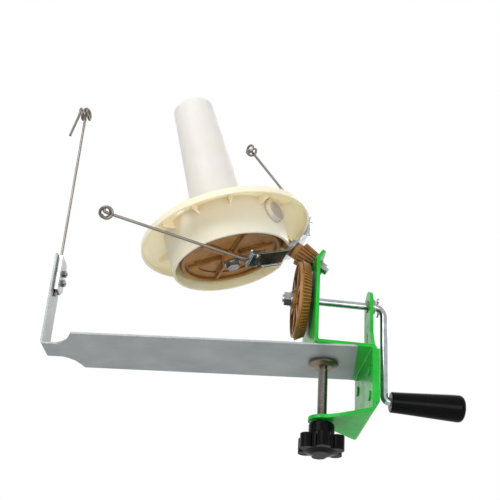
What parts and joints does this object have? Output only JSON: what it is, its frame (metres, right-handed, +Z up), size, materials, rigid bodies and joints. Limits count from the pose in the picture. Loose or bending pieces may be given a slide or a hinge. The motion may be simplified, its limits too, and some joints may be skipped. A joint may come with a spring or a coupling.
{
  "type": "yarn cone winder",
  "caption": "Hand cranked yarn cone winder with bevel gears, a two arm flyer, a tilted cone on an umbrella, a long yarn guide arm and a table clamp.",
  "frame": {"origin": "on the clamp screw's axis, at the face that rests on the table top", "axes": "+Z up, +X along the crank shaft towards the handle, +Y away from the picture camera"},
  "size_m": [0.4473, 0.223, 0.4145],
  "materials": {
    "green_paint": "vivid green gloss paint",
    "brown_plastic": "brown moulded plastic gear",
    "cream_plastic": "cream, slightly translucent moulded plastic",
    "chrome": "bright plated steel",
    "nickel_wire": "nickel plated wire and screws",
    "satin_steel": "satin grey sheet steel",
    "bush_steel": "plain steel bush",
    "black_plastic": "glossy black plastic"
  },
  "bodies": {
    "frame": {"clamp_frame": "green_paint", "crank_post": "green_paint", "frame_rivets": "green_paint", "front_bushing": "bush_steel", "rear_bushing": "bush_steel", "arm_pivot": "bush_steel", "gear_stud": "nickel_wire", "stud_washer": "chrome", "stud_nut": "chrome", "umbrella_housing": "cream_plastic"},
    "crank": {"crank_rod": "chrome", "crank_washer": "chrome", "split_pin": "chrome", "drive_gear": "brown_plastic", "drive_gear_washer": "chrome", "drive_gear_nut": "chrome", "handle_cap": "black_plastic"},
    "grip": {"handle_grip": "black_plastic"},
    "flyer": {"pinion": "brown_plastic", "flyer_bracket": "chrome", "flyer_nut": "chrome", "flyer_wire_near": "nickel_wire", "flyer_wire_far": "nickel_wire", "wire_clamp_near": "nickel_wire", "wire_clamp_far": "nickel_wire", "clamp_screws_near": "nickel_wire", "clamp_screws_far": "nickel_wire"},
    "spool": {"spool_axle": "nickel_wire", "spool_gear": "brown_plastic", "axle_washer": "chrome", "axle_nut": "chrome", "cone": "cream_plastic"},
    "arm": {"guide_arm": "satin_steel", "rod_clamp_plate": "satin_steel", "rod_clamp_screws": "nickel_wire", "rod_clamp_nuts": "nickel_wire"},
    "rod": {"guide_rod": "nickel_wire"},
    "screw": {"clamp_screw": "nickel_wire", "clamp_knob": "black_plastic"},
    "pad": {"clamp_pad": "chrome"}
  },
  "joints": [
    {"name": "crank_turn", "type": "hinge", "parent": "frame", "child": "crank", "pos_m": [0, 0, 0.0666], "axis": [1, 0, 0], "continuous": true},
    {"name": "grip_spin", "type": "hinge", "parent": "crank", "child": "grip", "pos_m": [0.1, 0, -0.0354], "axis": [1, 0, 0], "continuous": true},
    {"name": "flyer_turn", "type": "hinge", "parent": "frame", "child": "flyer", "pos_m": [0.05694, 0, 0.0666], "axis": [-0.8415, 0, 0.5402], "continuous": true},
    {"name": "cone_turn", "type": "hinge", "parent": "frame", "child": "spool", "pos_m": [-0.1015, 0, 0.1112], "axis": [-0.2907, 0, 0.9568], "continuous": true},
    {"name": "arm_swing", "type": "hinge", "parent": "frame", "child": "arm", "pos_m": [0, 0, 0], "axis": [0, 0, 1], "range_deg": [-4, 18]},
    {"name": "rod_height", "type": "slide", "parent": "arm", "child": "rod", "axis": [0, 0, 1], "range_m": [-0.05, 0.03]},
    {"name": "clamp_travel", "type": "slide", "parent": "frame", "child": "screw", "axis": [0, 0, -1], "range_m": [0, 0.045]},
    {"name": "pad_swivel", "type": "hinge", "parent": "screw", "child": "pad", "pos_m": [0, 0, -0.003], "axis": [0, 0, 1], "continuous": true}
  ],
  "couplings": [
    {"joint": "flyer_turn", "follows": "crank_turn", "ratio": 3.6},
    {"joint": "cone_turn", "follows": "crank_turn", "ratio": -0.49901}
  ]
}
